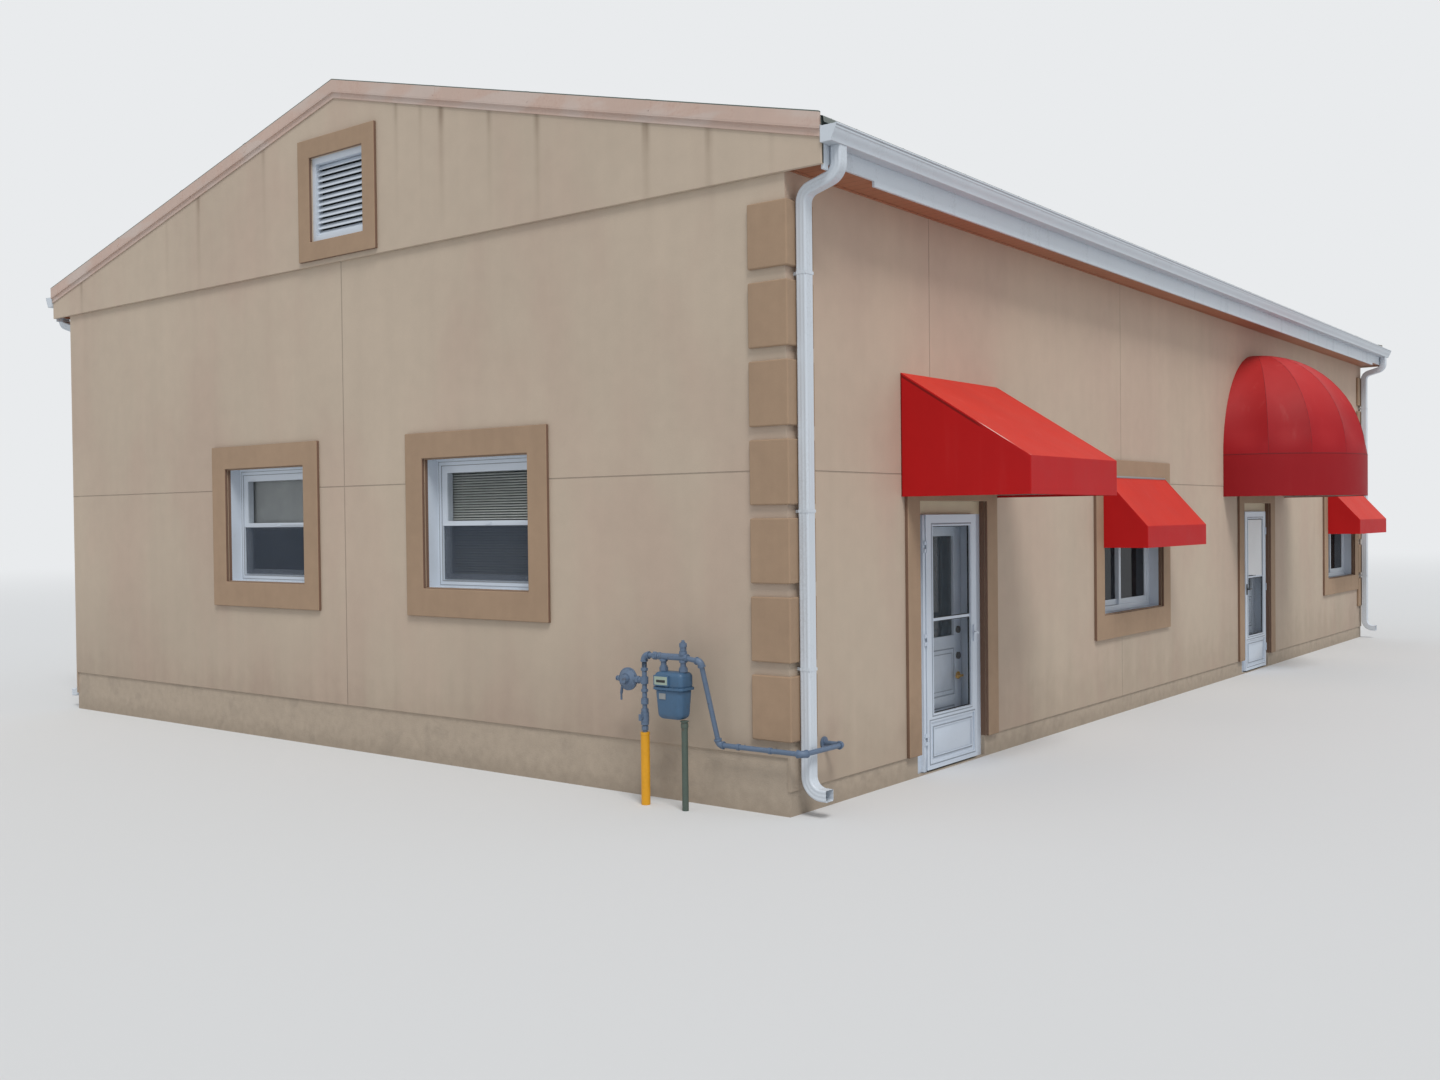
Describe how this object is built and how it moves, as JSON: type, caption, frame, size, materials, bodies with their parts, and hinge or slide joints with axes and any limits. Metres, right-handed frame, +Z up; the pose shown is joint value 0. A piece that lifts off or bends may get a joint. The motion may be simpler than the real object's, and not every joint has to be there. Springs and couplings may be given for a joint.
{
  "type": "corner shop building",
  "caption": "Gabled single-storey shop with stucco walls, corner quoins, red awnings over doors and windows, gutters and a gas meter set; its door leaves swing on hinges.",
  "frame": {"origin": "centre of the plan on the ground, on the underside of the floor slab", "axes": "-Y out of the front gable, +X out of the entrance side, +Z up"},
  "size_m": [11.061, 16.066, 5.7757],
  "materials": {
    "painted_block": "painted masonry",
    "concrete": "trowelled concrete",
    "stucco": "sand stucco",
    "roof_metal": "painted ribbed sheet",
    "tan_metal": "painted sheet trim",
    "white_metal": "white painted sheet",
    "soffit": "painted panels",
    "trim": "sand stucco over foam",
    "white_vinyl": "white vinyl",
    "white_paint": "white paint",
    "glass": "clear pane",
    "canvas": "woven canvas",
    "pipe": "grey paint",
    "meter": "grey paint",
    "post": "green paint",
    "black_metal": "black",
    "brass": "satin"
  },
  "bodies": {
    "building": {"foundation": "painted_block", "floor_slab": "concrete", "front_gable_wall": "stucco", "rear_gable_wall": "stucco", "gable_bands": "stucco", "entrance_wall_near": "stucco", "entrance_wall_middle": "stucco", "entrance_wall_far": "stucco", "door_lintels": "stucco", "back_wall": "stucco", "roof_entrance_slope": "roof_metal", "roof_back_slope": "roof_metal", "drip_edges": "roof_metal", "ridge_cap": "roof_metal", "rake_trims": "tan_metal", "fascias": "white_metal", "soffits": "soffit", "gutters": "white_metal", "downspouts": "white_metal", "corner_quoins": "trim", "gable_surrounds": "trim", "side_window_surrounds": "trim", "door_surrounds": "trim", "gable_window_frames": "white_vinyl", "side_window_frames": "white_vinyl", "window_glass": "glass", "gable_vents": "white_vinyl", "door_frames": "white_vinyl", "door_awning": "canvas", "window_awnings": "canvas", "dome_awning": "canvas", "gas_riser": "pipe", "gas_meter": "meter", "gas_pipe": "pipe", "meter_post": "post"},
    "storm_door_1_leaf": {"storm_door_1": "white_metal", "storm_glass_1": "glass", "storm_handle_1": "black_metal"},
    "inner_door_1_leaf": {"inner_door_1": "white_paint", "inner_glass_1": "glass", "inner_handle_1": "brass"},
    "storm_door_2_leaf": {"storm_door_2": "white_metal", "storm_glass_2": "glass", "storm_handle_2": "black_metal"},
    "inner_door_2_leaf": {"inner_door_2": "white_paint", "inner_glass_2": "glass", "inner_handle_2": "brass"}
  },
  "joints": [
    {"name": "storm_door_1_hinge", "type": "hinge", "parent": "building", "child": "storm_door_1_leaf", "pos_m": [4.6814, -6.016, 0], "axis": [0, 0, -1], "range_deg": [0, 90]},
    {"name": "inner_door_1_hinge", "type": "hinge", "parent": "building", "child": "inner_door_1_leaf", "pos_m": [4.494, -5.99, 0], "axis": [0, 0, 1], "range_deg": [0, 90]},
    {"name": "storm_door_2_hinge", "type": "hinge", "parent": "building", "child": "storm_door_2_leaf", "pos_m": [4.6814, 2.751, 0], "axis": [0, 0, 1], "range_deg": [0, 90]},
    {"name": "inner_door_2_hinge", "type": "hinge", "parent": "building", "child": "inner_door_2_leaf", "pos_m": [4.494, 2.725, 0], "axis": [0, 0, -1], "range_deg": [0, 90]}
  ]
}
